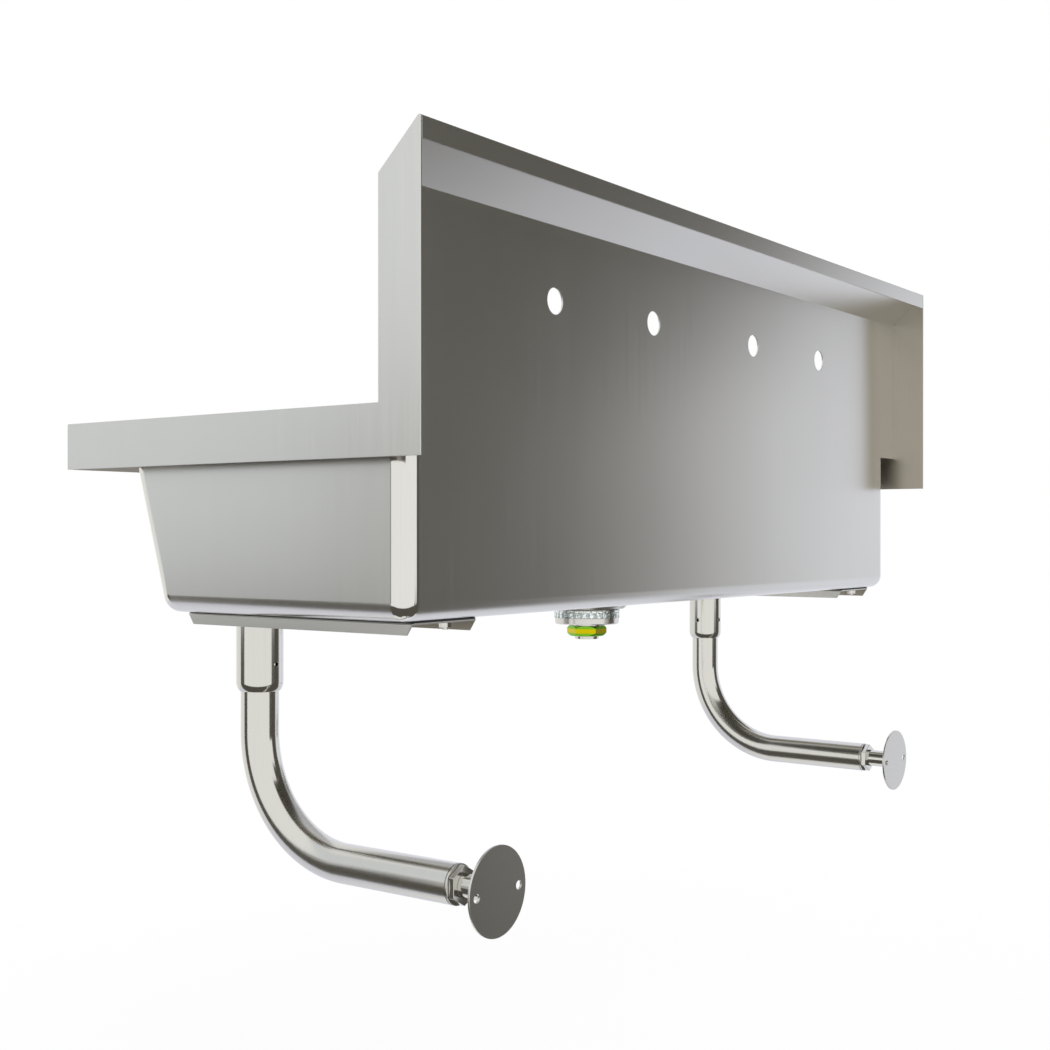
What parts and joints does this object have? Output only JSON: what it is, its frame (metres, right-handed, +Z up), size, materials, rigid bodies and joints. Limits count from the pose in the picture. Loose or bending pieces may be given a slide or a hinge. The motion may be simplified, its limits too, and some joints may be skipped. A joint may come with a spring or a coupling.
{
  "type": "trough sink",
  "caption": "Wall-hung stainless trough sink with a high backsplash, faucet holes, a strainer drain and bent tube legs with adjustable wall feet.",
  "frame": {"origin": "middle of the hanging flange's back face, on the wall plane", "axes": "+X along the sink to the right of a user who faces the wall, +Y towards the wall, +Z up"},
  "size_m": [1.2192, 0.508, 0.7619],
  "materials": {
    "basin_sheet": "fine satin stainless, polished at the pressed corners",
    "deck_sheet": "satin stainless, brushed along the length",
    "splash_sheet": "satin stainless, brushed along the length",
    "panel_sheet": "satin stainless, brushed upright",
    "channel_sheet": "satin stainless",
    "tube_steel": "polished stainless tube",
    "turned_steel": "turned stainless",
    "disc_steel": "satin stainless plate",
    "fastener_steel": "bright stainless",
    "strainer_steel": "polished stainless",
    "washer_steel": "plain steel washer",
    "zinc_alloy": "cast zinc alloy, as cast",
    "yellow_brass": "yellow passivated plating with green tinted chamfers",
    "tail_brass": "plated brass tube",
    "white_plastic": "plain",
    "rubber": "matt black"
  },
  "bodies": {
    "sink": {"basin": "basin_sheet", "deck": "deck_sheet", "backsplash": "splash_sheet", "left_end_panel": "panel_sheet", "right_end_panel": "panel_sheet", "left_channel": "channel_sheet", "right_channel": "channel_sheet", "left_channel_pad": "rubber", "right_channel_pad": "rubber", "left_channel_studs": "fastener_steel", "right_channel_studs": "fastener_steel", "left_channel_nuts": "fastener_steel", "right_channel_nuts": "fastener_steel", "left_collar": "tube_steel", "right_collar": "tube_steel", "left_set_screws": "fastener_steel", "right_set_screws": "fastener_steel", "strainer_body": "strainer_steel", "strainer_gasket": "rubber", "slip_washer": "washer_steel", "strainer_locknut": "zinc_alloy", "coupling_nut": "yellow_brass", "tailpiece_washer": "white_plastic", "tailpiece": "tail_brass"},
    "left_leg": {"left_leg_tube": "tube_steel", "left_leg_insert": "turned_steel"},
    "right_leg": {"right_leg_tube": "tube_steel", "right_leg_insert": "turned_steel"},
    "left_nut": {"left_adjusting_nut": "turned_steel"},
    "right_nut": {"right_adjusting_nut": "turned_steel"},
    "left_foot": {"left_foot_shank": "turned_steel", "left_wall_disc": "disc_steel"},
    "right_foot": {"right_foot_shank": "turned_steel", "right_wall_disc": "disc_steel"},
    "basket": {"strainer_basket": "strainer_steel", "basket_knob": "strainer_steel", "basket_stopper": "rubber"}
  },
  "joints": [
    {"name": "left_leg_height", "type": "slide", "parent": "sink", "child": "left_leg", "axis": [0, 0, 1], "range_m": [-0.025, 0.005]},
    {"name": "left_nut_turn", "type": "hinge", "parent": "left_leg", "child": "left_nut", "pos_m": [-0.4953, -0.044, -0.7068], "axis": [0, 1, 0], "range_deg": [-3010, 3010]},
    {"name": "left_foot_reach", "type": "slide", "parent": "left_leg", "child": "left_foot", "axis": [0, 1, 0], "range_m": [-0.025, 0.025]},
    {"name": "right_leg_height", "type": "slide", "parent": "sink", "child": "right_leg", "axis": [0, 0, 1], "range_m": [-0.025, 0.005]},
    {"name": "right_nut_turn", "type": "hinge", "parent": "right_leg", "child": "right_nut", "pos_m": [0.4953, -0.044, -0.7068], "axis": [0, 1, 0], "range_deg": [-3010, 3010]},
    {"name": "right_foot_reach", "type": "slide", "parent": "right_leg", "child": "right_foot", "axis": [0, 1, 0], "range_m": [-0.025, 0.025]},
    {"name": "basket_lift", "type": "slide", "parent": "sink", "child": "basket", "axis": [0, 0, 1], "range_m": [0, 0.045]}
  ],
  "couplings": [
    {"joint": "left_nut_turn", "follows": "left_foot_reach", "rad_per_m": -2094.4},
    {"joint": "right_nut_turn", "follows": "right_foot_reach", "rad_per_m": -2094.4}
  ]
}
